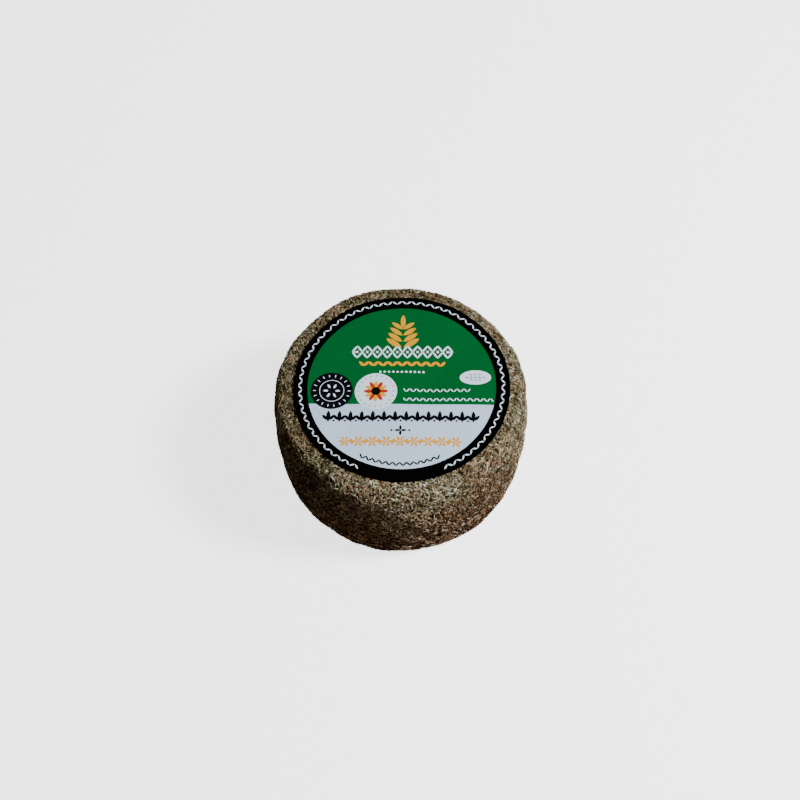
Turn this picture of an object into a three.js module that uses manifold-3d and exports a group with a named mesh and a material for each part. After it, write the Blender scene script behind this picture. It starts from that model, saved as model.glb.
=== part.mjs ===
// A small wheel of soft goat's-milk cheese, rolled in dried herbs, with a round paper label on its top.
// Millimetres, +Z up. The origin is the middle of the flat base, and the label reads upwards along +Y.
import * as THREE from "three";
import { mergeVertices } from "three/addons/utils/BufferGeometryUtils.js";
import Module from "manifold-3d";

// Driving dimensions of the wheel
const WHEEL_RADIUS = 57;
const WHEEL_HEIGHT = 58;
const TOP_EDGE_RISE = 11.5;
const BASE_EDGE_RISE = 14.5;
const TOP_FLAT_RADIUS = 51.5;
const BASE_FLAT_RADIUS = 49.5;
const SIDE_BULGE = 1;

// The moulded curd is a little uneven: slow waves round the side, and a few dents and swells all over
const SIDE_WAVES = [
  { count: 2, height: 0.06, phase: 3.2 },
  { count: 3, height: 0.18, phase: 0.2 },
  { count: 4, height: 0.1, phase: 2.1 },
  { count: 5, height: 0.15, phase: 2.0 },
];
const SWELL_HEIGHT = 0.15;
const SWELL_LENGTH = 30;
const GRAIN_HEIGHT = 0.16;
const GRAIN_LENGTH = 11;
const WAVES_IN_LUMPS = 7;
const WAVE_SPREAD = 0.25;
const EDGE_SHARPNESS = 4;

// Facets of the wheel
const SECTORS = 60;
const TOP_RINGS = [13, 26, 38, 47.5];
const EDGE_STEPS = 4;
const SIDE_STEPS = 5;

// The paper label, which is stuck on a little off the middle, towards +X
const LABEL_RADIUS = 47.5;
const LABEL_OFFSET = 1;
const LABEL_THICKNESS = 0.4;
const LABEL_GAP = 0.3;

// The largest pieces of herb in the crust, which lie nearly flat and are pressed in
const ROSEMARY = { length: 6.4, width: 1.4, thickness: 1.05, lift: 6 };
const LEAF = { length: 3.8, width: 2.1, thickness: 0.95, lift: 11 };
const STEM = { length: 6, width: 0.9, thickness: 0.9, lift: 5 };
const HERBS = 190;
const HERB_ORDER = [ROSEMARY, LEAF, LEAF, STEM, LEAF];
const PRESSED_IN = 0.47;
const SIZE_SPREAD = 0.28;
const HERB_BEND = 0.07;
const PLACE_SPREAD = 0.1;
const STEM_TAPER = 0.8;
const STEM_SIDES = 5;
const LOWEST_HERB = 0.4;
const LABEL_CLEARANCE = 0.7;
const GOLDEN_ANGLE = Math.PI * (3 - Math.sqrt(5));
const SEED = 20;
const SAME_POINT = 1e-4;

// A seeded draw from 0 to 1, so that every run makes the same wheel
function makeDraw(seed) {
  let state = seed;
  return () => {
    state = (Math.imul(state, 1664525) + 1013904223) >>> 0;
    return state / 2 ** 32;
  };
}

// Sums sine waves of one length that run in drawn directions, which gives soft lumps without a pattern
function makeLumps(height, length, draw) {
  const waves = Array.from({ length: WAVES_IN_LUMPS }, () => {
    const direction = new THREE.Vector3().setFromSphericalCoords(
      1,
      Math.acos(2 * draw() - 1),
      2 * Math.PI * draw(),
    );
    const stretch = 1 + WAVE_SPREAD * (2 * draw() - 1);
    return {
      direction: direction.multiplyScalar((2 * Math.PI) / (length * stretch)),
      phase: 2 * Math.PI * draw(),
    };
  });
  const share = height / Math.sqrt(WAVES_IN_LUMPS / 2);
  return (point) =>
    waves.reduce(
      (sum, wave) => sum + share * Math.sin(wave.direction.dot(point) + wave.phase),
      0,
    );
}

const draw = makeDraw(SEED);
const swell = makeLumps(SWELL_HEIGHT, SWELL_LENGTH, draw);
const grain = makeLumps(GRAIN_HEIGHT, GRAIN_LENGTH, draw);

// Points of the wheel's half section from the middle of the base to the middle of the top
function wheelProfile() {
  const sideRadius = WHEEL_RADIUS - SIDE_BULGE;
  const sideFoot = BASE_EDGE_RISE;
  const sideHead = WHEEL_HEIGHT - TOP_EDGE_RISE;
  const points = [new THREE.Vector2(0, 0)];
  points.push(...TOP_RINGS.map((radius) => new THREE.Vector2(radius, 0)));
  for (let i = 0; i <= EDGE_STEPS; i++) {
    const turn = (Math.PI / 2) * (i / EDGE_STEPS);
    const radius = BASE_FLAT_RADIUS + (sideRadius - BASE_FLAT_RADIUS) * Math.sin(turn);
    points.push(new THREE.Vector2(radius, BASE_EDGE_RISE * (1 - Math.cos(turn))));
  }
  for (let i = 1; i < SIDE_STEPS; i++) {
    const share = i / SIDE_STEPS;
    const radius = sideRadius + SIDE_BULGE * Math.sin(Math.PI * share);
    points.push(new THREE.Vector2(radius, sideFoot + (sideHead - sideFoot) * share));
  }
  for (let i = 0; i <= EDGE_STEPS; i++) {
    const turn = (Math.PI / 2) * (i / EDGE_STEPS);
    const radius = TOP_FLAT_RADIUS + (sideRadius - TOP_FLAT_RADIUS) * Math.cos(turn);
    points.push(new THREE.Vector2(radius, sideHead + TOP_EDGE_RISE * Math.sin(turn)));
  }
  points.push(...[...TOP_RINGS].reverse().map((radius) => new THREE.Vector2(radius, WHEEL_HEIGHT)));
  points.push(new THREE.Vector2(0, WHEEL_HEIGHT));
  return points;
}

const profile = wheelProfile();

// How far a point is from the axis through the label's middle
function reachFromLabel(point) {
  return Math.hypot(point.x - LABEL_OFFSET, point.y);
}

// How far the real surface stands out from the even one; the base stays flat, and paper smooths the top
function unevenness(point) {
  const angle = Math.atan2(point.y, point.x);
  const radius = Math.hypot(point.x, point.y);
  const away = Math.min(1, radius / WHEEL_RADIUS);
  const above = THREE.MathUtils.smoothstep(point.z, 0, BASE_EDGE_RISE / 2);
  const bare = THREE.MathUtils.smoothstep(reachFromLabel(point), LABEL_RADIUS, TOP_FLAT_RADIUS);
  const sideWaves = SIDE_WAVES.reduce(
    (sum, wave) => sum + wave.height * Math.cos(wave.count * angle - wave.phase),
    0,
  );
  return above * (sideWaves * away ** EDGE_SHARPNESS + swell(point) + bare * grain(point));
}

// The outward direction of the even wheel at a point of its profile
function profileNormal(index) {
  const before = profile[Math.max(index - 1, 0)];
  const after = profile[Math.min(index + 1, profile.length - 1)];
  const along = after.clone().sub(before).normalize();
  return new THREE.Vector2(along.y, -along.x);
}

// Moves a point at this angle on the even profile to its place on the uneven wheel. The rings that lie
// under the label share its middle, so that label and wheel have the same facets.
function placeOnWheel(angle, flat, outward) {
  const even = new THREE.Vector3(flat.x * Math.cos(angle), flat.x * Math.sin(angle), flat.y);
  if (flat.y === WHEEL_HEIGHT && flat.x <= LABEL_RADIUS) even.x += LABEL_OFFSET;
  const away = new THREE.Vector3(outward.x * Math.cos(angle), outward.x * Math.sin(angle), outward.y);
  return even.clone().addScaledVector(away, unevenness(even));
}

// Removes what a solid doesn't need, and the triangles that shrank to a line at the axis
function closedGeometry(geometry) {
  const bare = geometry.clone();
  bare.deleteAttribute("normal");
  bare.deleteAttribute("uv");
  const merged = mergeVertices(bare, SAME_POINT);
  const kept = [];
  const corners = merged.index.array;
  for (let i = 0; i < corners.length; i += 3) {
    const [a, b, c] = corners.slice(i, i + 3);
    if (a !== b && b !== c && c !== a) kept.push(a, b, c);
  }
  merged.setIndex(kept);
  return merged;
}

function solidFrom(wasm, geometry) {
  const closed = closedGeometry(geometry);
  return new wasm.Manifold(
    new wasm.Mesh({
      numProp: 3,
      vertProperties: new Float32Array(closed.attributes.position.array),
      triVerts: new Uint32Array(closed.index.array),
    }),
  );
}

function geometryFrom(solid) {
  const mesh = solid.getMesh();
  const geometry = new THREE.BufferGeometry();
  geometry.setAttribute("position", new THREE.BufferAttribute(mesh.vertProperties, 3));
  geometry.setIndex(new THREE.BufferAttribute(mesh.triVerts, 1));
  const faceted = geometry.toNonIndexed();
  faceted.computeVertexNormals();
  return faceted;
}

// The wheel without its herbs: a lathed profile, with each vertex moved to its uneven place
function cheeseCore() {
  const geometry = new THREE.LatheGeometry(profile, SECTORS);
  const position = geometry.attributes.position;
  for (let i = 0; i < position.count; i++) {
    const index = i % profile.length;
    const angle = (2 * Math.PI * Math.floor(i / profile.length)) / SECTORS;
    const wrapped = Math.floor(i / profile.length) === SECTORS ? 0 : angle;
    const place = placeOnWheel(wrapped, profile[index], profileNormal(index));
    position.setXYZ(i, place.x, place.y, place.z);
  }
  return geometry;
}

// Area of the crust from the foot of the side to the label, so that the herbs can be spread evenly
function crustStretches() {
  const stretches = [];
  let area = 0;
  for (let i = TOP_RINGS.length + 1; i < profile.length - TOP_RINGS.length - 1; i++) {
    const [a, b] = [profile[i], profile[i + 1]];
    const part = Math.PI * (a.x + b.x) * a.distanceTo(b);
    stretches.push({ index: i, from: area, to: area + part });
    area += part;
  }
  return { stretches, area };
}

const crust = crustStretches();

// A place on the crust at a share of its area, with its outward normal and the direction round the wheel
function crustFrame(share, angle) {
  const wanted = share * crust.area;
  const stretch = crust.stretches.find((s) => wanted <= s.to);
  const along = (wanted - stretch.from) / (stretch.to - stretch.from);
  const flat = profile[stretch.index].clone().lerp(profile[stretch.index + 1], along);
  const outward = profileNormal(stretch.index)
    .lerp(profileNormal(stretch.index + 1), along)
    .normalize();
  const origin = placeOnWheel(angle, flat, outward);
  const normal = new THREE.Vector3(
    outward.x * Math.cos(angle),
    outward.x * Math.sin(angle),
    outward.y,
  );
  const round = new THREE.Vector3(-Math.sin(angle), Math.cos(angle), 0);
  return { origin, normal, round };
}

// Bends a herb that lies along X so that it hugs the wheel and is not quite straight
function bend(geometry, length, curl) {
  const position = geometry.attributes.position;
  for (let i = 0; i < position.count; i++) {
    const share = (2 * position.getX(i)) / length;
    position.setY(i, position.getY(i) + curl * length * share * share);
    position.setZ(i, position.getZ(i) - (length * share * length * share) / (8 * WHEEL_RADIUS));
  }
  return geometry;
}

// A dried leaf or needle is a spindle, and a stem is a short straw
function herbGeometry(kind, scale, curl) {
  const length = kind.length * scale;
  if (kind === STEM) {
    const straw = new THREE.CylinderGeometry(
      kind.width / 2,
      (kind.width / 2) * STEM_TAPER,
      length,
      STEM_SIDES,
      2,
    );
    return bend(straw.rotateZ(Math.PI / 2), length, curl);
  }
  const spindle = new THREE.SphereGeometry(1, 4, 4);
  spindle.rotateZ(Math.PI / 2);
  spindle.scale(length / 2, (kind.width * scale) / 2, kind.thickness / 2);
  return bend(spindle, length, curl);
}

// Lays a herb on the crust, turned and tilted a little, and pressed in
function layHerb(geometry, frame, turn, lift, thickness) {
  const side = frame.normal.clone().cross(frame.round);
  const basis = new THREE.Matrix4().makeBasis(frame.round, side, frame.normal);
  const spin = new THREE.Matrix4().makeRotationZ(turn);
  const tilt = new THREE.Matrix4().makeRotationY(lift);
  geometry.applyMatrix4(basis.multiply(spin).multiply(tilt));
  const raised = frame.normal.clone().multiplyScalar(thickness * (0.5 - PRESSED_IN));
  geometry.translate(...frame.origin.clone().add(raised).toArray());
  return geometry;
}

// True where a herb would reach the table, or the label and the space that it needs
function isInTheWay(geometry) {
  const position = geometry.attributes.position;
  const point = new THREE.Vector3();
  for (let i = 0; i < position.count; i++) {
    point.fromBufferAttribute(position, i);
    if (point.z < LOWEST_HERB) return true;
    const inside = reachFromLabel(point) < LABEL_RADIUS + LABEL_CLEARANCE;
    if (inside && point.z > WHEEL_HEIGHT - TOP_EDGE_RISE) return true;
  }
  return false;
}

// The herbs follow a golden-angle spiral up the crust, which spreads them evenly
function herbPieces() {
  const pieces = [];
  for (let i = 0; i < HERBS; i++) {
    const kind = HERB_ORDER[i % HERB_ORDER.length];
    const scale = 1 + SIZE_SPREAD * (2 * draw() - 1);
    const curl = HERB_BEND * (2 * draw() - 1);
    const turn = Math.PI * draw();
    const lift = THREE.MathUtils.degToRad(kind.lift * (2 * draw() - 1));
    const frame = crustFrame((i + 0.5) / HERBS, i * GOLDEN_ANGLE + PLACE_SPREAD * draw());
    const piece = layHerb(herbGeometry(kind, scale, curl), frame, turn, lift, kind.thickness);
    if (!isInTheWay(piece)) pieces.push(piece);
  }
  return pieces;
}

function herbCoatedCheese(wasm) {
  let solid = solidFrom(wasm, cheeseCore());
  for (const piece of herbPieces()) solid = solid.add(solidFrom(wasm, piece));
  return geometryFrom(solid);
}

// The label is a thin disc that follows the top of the wheel
function labelGeometry() {
  const rings = [...TOP_RINGS.slice(0, -1), LABEL_RADIUS];
  const lower = rings.map((radius) => new THREE.Vector2(radius, 0));
  const upper = [...rings].reverse().map((radius) => new THREE.Vector2(radius, LABEL_THICKNESS));
  const section = [
    new THREE.Vector2(0, 0),
    ...lower,
    ...upper,
    new THREE.Vector2(0, LABEL_THICKNESS),
  ];
  const geometry = new THREE.LatheGeometry(section, SECTORS);
  const position = geometry.attributes.position;
  const up = new THREE.Vector2(0, 1);
  for (let i = 0; i < position.count; i++) {
    const { x: radius, y: level } = section[i % section.length];
    const sector = Math.floor(i / section.length) % SECTORS;
    const angle = (2 * Math.PI * sector) / SECTORS;
    const top = placeOnWheel(angle, new THREE.Vector2(radius, WHEEL_HEIGHT), up);
    position.setXYZ(i, top.x, top.y, top.z + LABEL_GAP + level);
  }
  const closed = closedGeometry(geometry).toNonIndexed();
  closed.computeVertexNormals();
  return closed;
}

function namedMesh(name, geometry, colour, roughness) {
  const material = new THREE.MeshStandardMaterial({ color: colour, roughness, metalness: 0 });
  const mesh = new THREE.Mesh(geometry, material);
  mesh.name = name;
  return mesh;
}

const wasm = await Module();
wasm.setup();

const cheeseWheel = new THREE.Group();
cheeseWheel.add(namedMesh("herb_coated_cheese", herbCoatedCheese(wasm), 0x6e6349, 0.9));
cheeseWheel.add(namedMesh("label", labelGeometry(), 0xd9dde4, 0.55));

export default cheeseWheel;
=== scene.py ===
import math

import bmesh
import bpy
import numpy as np
from mathutils import Matrix, Vector


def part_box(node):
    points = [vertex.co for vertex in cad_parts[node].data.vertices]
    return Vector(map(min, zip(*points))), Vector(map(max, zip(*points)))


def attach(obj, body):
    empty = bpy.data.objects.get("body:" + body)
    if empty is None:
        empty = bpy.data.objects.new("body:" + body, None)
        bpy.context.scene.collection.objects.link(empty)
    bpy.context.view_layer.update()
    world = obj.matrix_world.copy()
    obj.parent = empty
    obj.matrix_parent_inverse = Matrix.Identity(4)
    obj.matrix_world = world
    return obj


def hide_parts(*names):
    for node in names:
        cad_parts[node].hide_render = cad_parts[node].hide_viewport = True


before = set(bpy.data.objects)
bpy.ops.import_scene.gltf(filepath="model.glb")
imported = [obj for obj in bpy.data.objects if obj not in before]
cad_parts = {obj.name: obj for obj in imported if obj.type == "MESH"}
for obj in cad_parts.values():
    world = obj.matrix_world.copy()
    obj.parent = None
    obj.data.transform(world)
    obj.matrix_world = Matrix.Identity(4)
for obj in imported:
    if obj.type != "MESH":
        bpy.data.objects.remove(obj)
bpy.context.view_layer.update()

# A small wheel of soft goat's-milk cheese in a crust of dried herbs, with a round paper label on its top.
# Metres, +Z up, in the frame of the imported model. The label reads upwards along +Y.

MM = 0.001

# Form of the wheel, the same as that of the solid
WHEEL_RADIUS = 57 * MM
WHEEL_HEIGHT = 58 * MM
TOP_EDGE_RISE = 11.5 * MM
BASE_EDGE_RISE = 14.5 * MM
TOP_FLAT_RADIUS = 51.5 * MM
BASE_FLAT_RADIUS = 49.5 * MM
SIDE_BULGE = 1 * MM
LABEL_LEFT, LABEL_RIGHT = (corner[0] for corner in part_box("label"))
LABEL_RADIUS = (LABEL_RIGHT - LABEL_LEFT) / 2
LABEL_OFFSET = (LABEL_RIGHT + LABEL_LEFT) / 2

# Unevenness of the moulded curd, drawn with the same seed as that of the solid
SIDE_WAVES = ((2, 0.06 * MM, 3.2), (3, 0.18 * MM, 0.2), (4, 0.1 * MM, 2.1), (5, 0.15 * MM, 2.0))
SWELL_HEIGHT = 0.15 * MM
SWELL_LENGTH = 30 * MM
GRAIN_HEIGHT = 0.16 * MM
GRAIN_LENGTH = 11 * MM
WAVES_IN_LUMPS = 7
WAVE_SPREAD = 0.25
EDGE_SHARPNESS = 4
WHEEL_SEED = 20

# The bed of fine herb dust that the larger pieces are pressed into
BED_SECTORS = 112
BED_STEPS = (4, 6, 8)
BED_PATCH_SHARE = 0.35
BED_SINK = 0.7 * MM
BED_LUMPS = ((0.16 * MM, 4.5 * MM), (0.14 * MM, 2.4 * MM))
BED_WAVES = 26

# The sheet of paper, and the ink on it
LABEL_SECTORS = 180
LABEL_LIFT = 0.5 * MM
PAPER_THICKNESS = 0.16 * MM
PAPER_COCKLE = 0.05 * MM
PAPER_COCKLE_LENGTH = 17 * MM
INK_LIFT = 0.06 * MM
INK_THICKNESS = 0.03 * MM
RING_INNER = 0.87 * LABEL_RADIUS
FIELD_EDGE_Y = -0.2 * LABEL_RADIUS


# Colours and nodes

def linear(hex_colour):
    """Turns an sRGB hex colour to the linear values that a shader takes."""
    values = [int(hex_colour[i:i + 2], 16) / 255 for i in (1, 3, 5)]
    return tuple(v / 12.92 if v <= 0.04045 else ((v + 0.055) / 1.055) ** 2.4 for v in values) + (1.0,)


def add_node(tree, kind, inputs=None, **settings):
    """Adds a node with its settings; an input takes a value, or the socket that feeds it."""
    node = tree.nodes.new(kind)
    for name, value in settings.items():
        setattr(node, name, value)
    for name, value in (inputs or {}).items():
        if isinstance(value, bpy.types.NodeSocket):
            tree.links.new(value, node.inputs[name])
        else:
            node.inputs[name].default_value = value
    return node


def set_stops(ramp_node, stops):
    """Gives a colour ramp its places and colours."""
    ramp = ramp_node.color_ramp
    while len(ramp.elements) < len(stops):
        ramp.elements.new(1.0)
    for element, (place, colour) in zip(ramp.elements, stops):
        element.position = place
        element.color = linear(colour)


def new_material(name):
    """A material with one principled shader, and its node tree."""
    material = bpy.data.materials.new(name)
    material.use_nodes = True
    tree = material.node_tree
    return material, tree, tree.nodes["Principled BSDF"]


# Modelling steps

def start_modelling():
    """Leaves nothing selected, so that the next operator acts on its own piece alone."""
    if bpy.context.mode != "OBJECT":
        bpy.ops.object.mode_set(mode="OBJECT")
    bpy.ops.object.select_all(action="DESELECT")


def pick(rule):
    """Selects the vertices of the piece in edit mode whose place passes the rule."""
    bpy.ops.mesh.select_all(action="DESELECT")
    mesh = bpy.context.edit_object.data
    shape = bmesh.from_edit_mesh(mesh)
    for vertex in shape.verts:
        vertex.select_set(rule(vertex.co))
    shape.select_flush(True)
    bmesh.update_edit_mesh(mesh)


def apply_modifier(piece, kind, **settings):
    """Adds a modifier to the piece and applies it."""
    start_modelling()
    bpy.context.view_layer.objects.active = piece
    piece.select_set(True)
    modifier = piece.modifiers.new(kind.title(), kind)
    for name, value in settings.items():
        setattr(modifier, name, value)
    bpy.ops.object.modifier_apply(modifier=modifier.name)


def read_points(mesh, what="co"):
    """The mesh's vertices, or their normals, as rows of an array."""
    values = np.empty(3 * len(mesh.vertices))
    mesh.vertices.foreach_get(what, values)
    return values.reshape(-1, 3)


def write_points(mesh, points):
    """Moves the mesh's vertices to these points."""
    mesh.vertices.foreach_set("co", np.asarray(points, dtype=float).ravel())
    mesh.update()


def take_shape(piece):
    """Reads a small finished shape as points and triangles, and removes its object."""
    bpy.ops.mesh.select_all(action="SELECT")
    bpy.ops.mesh.quads_convert_to_tris()
    bpy.ops.object.mode_set(mode="OBJECT")
    points = read_points(piece.data)
    faces = np.array([list(face.vertices) for face in piece.data.polygons])
    bpy.data.objects.remove(piece)
    return points, faces


def joined_mesh(name, points, faces, uv=None):
    """Makes one piece of many copies whose points and triangles are given as arrays."""
    mesh = bpy.data.meshes.new(name)
    mesh.vertices.add(len(points))
    mesh.vertices.foreach_set("co", points.ravel())
    mesh.loops.add(faces.size)
    mesh.loops.foreach_set("vertex_index", faces.ravel())
    mesh.polygons.add(len(faces))
    mesh.polygons.foreach_set("loop_start", np.arange(0, faces.size, 3))
    mesh.update(calc_edges=True)
    if uv is not None:
        layer = mesh.uv_layers.new(name="OFBake")
        layer.data.foreach_set("uv", uv[faces.ravel()].ravel())
    mesh.validate()
    piece = bpy.data.objects.new(name, mesh)
    bpy.context.scene.collection.objects.link(piece)
    return piece


def finish_piece(piece, materials, smooth=True):
    """Gives a piece its materials, and lets it move with the wheel."""
    for material in materials:
        piece.data.materials.append(material)
    piece.data.polygons.foreach_set("use_smooth", [smooth] * len(piece.data.polygons))
    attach(piece, "root")
    return piece


# Form of the wheel

def make_draw(seed):
    """The seeded draw from 0 to 1 that the solid uses."""
    state = seed

    def draw():
        nonlocal state
        state = (state * 1664525 + 1013904223) % 2 ** 32
        return state / 2 ** 32

    return draw


def soft_lumps(height, length, draw, count=WAVES_IN_LUMPS):
    """Sums sine waves of one length that run in drawn directions."""
    directions = []
    phases = []
    for _ in range(count):
        polar = math.acos(2 * draw() - 1)
        turn = math.tau * draw()
        stretch = 1 + WAVE_SPREAD * (2 * draw() - 1)
        sideways = math.sin(polar)
        direction = (sideways * math.sin(turn), math.cos(polar), sideways * math.cos(turn))
        directions.append([math.tau / (length * stretch) * part for part in direction])
        phases.append(math.tau * draw())
    share = height / math.sqrt(count / 2)

    def lumps(points):
        return share * np.sin(points @ np.array(directions).T + phases).sum(axis=1)

    return lumps


wheel_draw = make_draw(WHEEL_SEED)
swell = soft_lumps(SWELL_HEIGHT, SWELL_LENGTH, wheel_draw)
grain = soft_lumps(GRAIN_HEIGHT, GRAIN_LENGTH, wheel_draw)
bed_draw = make_draw(WHEEL_SEED + 1)
bed_lumps = [soft_lumps(height, length, bed_draw, BED_WAVES) for height, length in BED_LUMPS]
cockle = soft_lumps(PAPER_COCKLE, PAPER_COCKLE_LENGTH, make_draw(WHEEL_SEED + 2))


def smooth_step(values, low, high):
    """Rises softly from 0 at the low value to 1 at the high one."""
    share = np.clip((values - low) / (high - low), 0, 1)
    return share * share * (3 - 2 * share)


def reach_from_label(points):
    """How far the points are from the axis through the label's middle."""
    return np.hypot(points[:, 0] - LABEL_OFFSET, points[:, 1])


def unevenness(points):
    """How far the wheel stands out from the even form at these points of the even form."""
    radius = np.hypot(points[:, 0], points[:, 1])
    angle = np.arctan2(points[:, 1], points[:, 0])
    away = np.minimum(1, radius / WHEEL_RADIUS)
    above = smooth_step(points[:, 2], 0, BASE_EDGE_RISE / 2)
    bare = smooth_step(reach_from_label(points), LABEL_RADIUS, TOP_FLAT_RADIUS)
    waves = sum(height * np.cos(count * angle - phase) for count, height, phase in SIDE_WAVES)
    return above * (waves * away ** EDGE_SHARPNESS + swell(points) + bare * grain(points))


def wheel_profile(flat_steps, edge_steps, side_steps):
    """Points (radius, height) of the half section from the middle of the base to the middle of the top."""
    side_radius = WHEEL_RADIUS - SIDE_BULGE
    side_head = WHEEL_HEIGHT - TOP_EDGE_RISE
    turns = np.linspace(0, math.pi / 2, edge_steps + 1)
    shares = np.linspace(0, 1, side_steps + 1)[1:-1]
    base_r = np.linspace(0, BASE_FLAT_RADIUS, flat_steps + 1)[:-1]
    top_r = np.linspace(TOP_FLAT_RADIUS, 0, flat_steps + 1)[1:]
    stretches = (
        (base_r, 0 * base_r),
        (
            BASE_FLAT_RADIUS + (side_radius - BASE_FLAT_RADIUS) * np.sin(turns),
            BASE_EDGE_RISE * (1 - np.cos(turns)),
        ),
        (
            side_radius + SIDE_BULGE * np.sin(math.pi * shares),
            BASE_EDGE_RISE + (side_head - BASE_EDGE_RISE) * shares,
        ),
        (
            TOP_FLAT_RADIUS + (side_radius - TOP_FLAT_RADIUS) * np.cos(turns),
            side_head + TOP_EDGE_RISE * np.sin(turns),
        ),
        (top_r, WHEEL_HEIGHT + 0 * top_r),
    )
    return np.array([(r, z) for radii, heights in stretches for r, z in zip(radii, heights)])


def label_height(x, y):
    """Height of the label's upper side over a place on the wheel's top."""
    even = np.column_stack([x, y, np.full(len(x), WHEEL_HEIGHT)])
    return WHEEL_HEIGHT + unevenness(even) + cockle(even) + LABEL_LIFT


# The bed of herb dust

def turn_on_lathe(name, profile, sectors):
    """Draws a half section vertex by vertex and spins it round the Z axis."""
    start_modelling()
    bpy.ops.mesh.primitive_plane_add(size=MM, location=(0, 0, 0))
    piece = bpy.context.object
    piece.name = name
    bpy.ops.object.mode_set(mode="EDIT")
    bpy.ops.mesh.merge(type="CENTER")
    for before, after in zip(profile, profile[1:]):
        step = (after[0] - before[0], 0, after[1] - before[1])
        bpy.ops.mesh.extrude_vertices_move(TRANSFORM_OT_translate={"value": step})
    bpy.ops.mesh.select_all(action="SELECT")
    bpy.ops.mesh.spin(steps=sectors, angle=math.tau, center=(0, 0, 0), axis=(0, 0, 1))
    bpy.ops.mesh.select_all(action="SELECT")
    bpy.ops.mesh.remove_doubles(threshold=0.01 * MM)
    bpy.ops.mesh.normals_make_consistent(inside=False)
    bpy.ops.object.mode_set(mode="OBJECT")
    return piece


def herb_dust_bed_material():
    """Ground dried herbs packed on rind: dead matt, dark brown to olive, in grains under a millimetre."""
    material, tree, shader = new_material("ground_dried_herbs_packed_matt")
    place = add_node(tree, "ShaderNodeTexCoord").outputs["Object"]
    grain_scale = 1 / (0.75 * MM)
    patch_scale = 1 / (14 * MM)
    cells = add_node(tree, "ShaderNodeTexVoronoi", {"Vector": place, "Scale": grain_scale})
    shade = add_node(tree, "ShaderNodeSeparateColor", {"Color": cells.outputs["Color"]})
    patches = add_node(tree, "ShaderNodeTexNoise", {"Vector": place, "Scale": patch_scale, "Detail": 3.0})
    mixed = add_node(
        tree, "ShaderNodeMath", {0: patches.outputs["Fac"], 1: BED_PATCH_SHARE, 2: shade.outputs["Red"]},
        operation="MULTIPLY_ADD",
    )
    ramp = add_node(tree, "ShaderNodeValToRGB", {"Fac": mixed.outputs[0]})
    set_stops(ramp, ((0.2, "#0a0603"), (0.6, "#261b10"), (0.85, "#54432a"), (1.0, "#93815c")))
    tree.links.new(ramp.outputs["Color"], shader.inputs["Base Color"])
    bump = add_node(
        tree, "ShaderNodeBump", {"Height": cells.outputs["Distance"], "Strength": 0.6, "Distance": 0.3 * MM},
        invert=True,
    )
    tree.links.new(bump.outputs["Normal"], shader.inputs["Normal"])
    shader.inputs["Roughness"].default_value = 0.95
    shader.inputs["Specular IOR Level"].default_value = 0.2
    return material


def make_bed():
    """The cheese's lumpy surface under the larger herbs, which stands for the solid."""
    bed = turn_on_lathe("herb_dust_bed", wheel_profile(*BED_STEPS), BED_SECTORS)
    apply_modifier(bed, "SUBSURF", levels=2, render_levels=2)
    points = read_points(bed.data)
    normals = read_points(bed.data, "normal")
    relief = sum(lumps(points) for lumps in bed_lumps) - BED_SINK
    points = points + normals * (unevenness(points) + relief)[:, None]
    points[:, 2] = np.maximum(points[:, 2], LOWEST_HERB)
    write_points(bed.data, points)
    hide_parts("herb_coated_cheese")
    return finish_piece(bed, [herb_dust_bed_material()])


# Shapes of the herbs, each lying along X with its upper side up

def start_stalk(length, width, sides):
    """A closed straight rod along X, in edit mode."""
    start_modelling()
    bpy.ops.mesh.primitive_cylinder_add(
        vertices=sides, radius=width / 2, depth=length, rotation=(0, math.pi / 2, 0)
    )
    piece = bpy.context.object
    bpy.ops.object.transform_apply(location=True, rotation=True, scale=True)
    bpy.ops.object.mode_set(mode="EDIT")
    return piece


def cut_across(place):
    """Cuts the piece in edit mode across X at this place."""
    bpy.ops.mesh.select_all(action="SELECT")
    bpy.ops.mesh.bisect(plane_co=(place, 0, 0), plane_no=(1, 0, 0))


def crumple(amount, seed):
    """Moves each vertex a little, differently for each seed."""
    bpy.ops.mesh.select_all(action="SELECT")
    bpy.ops.transform.vertex_random(offset=amount, uniform=1.0, normal=0.0, seed=seed)


def rosemary_needle(seed):
    """A narrow needle with blunt ends and rolled-down edges."""
    length, width = 2.5 * MM, 0.42 * MM
    bend_place = 0.05 * length
    blunt_from = 0.45 * length
    edge_from = 0.4 * width
    rolled_down = 0.14 * width
    flatness = 0.5
    blunt_width, blunt_height = 0.35, 0.5
    needle = start_stalk(length, width, sides=5)
    cut_across(bend_place)
    bpy.ops.mesh.select_all(action="SELECT")
    bpy.ops.transform.resize(value=(1, 1, flatness))
    pick(lambda place: abs(place.x) > blunt_from)
    bpy.ops.transform.resize(value=(1, blunt_width, blunt_height))
    pick(lambda place: abs(place.y) > edge_from)
    bpy.ops.transform.translate(value=(0, 0, -rolled_down))
    crumple(0.04 * MM, seed)
    return take_shape(needle)


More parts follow.
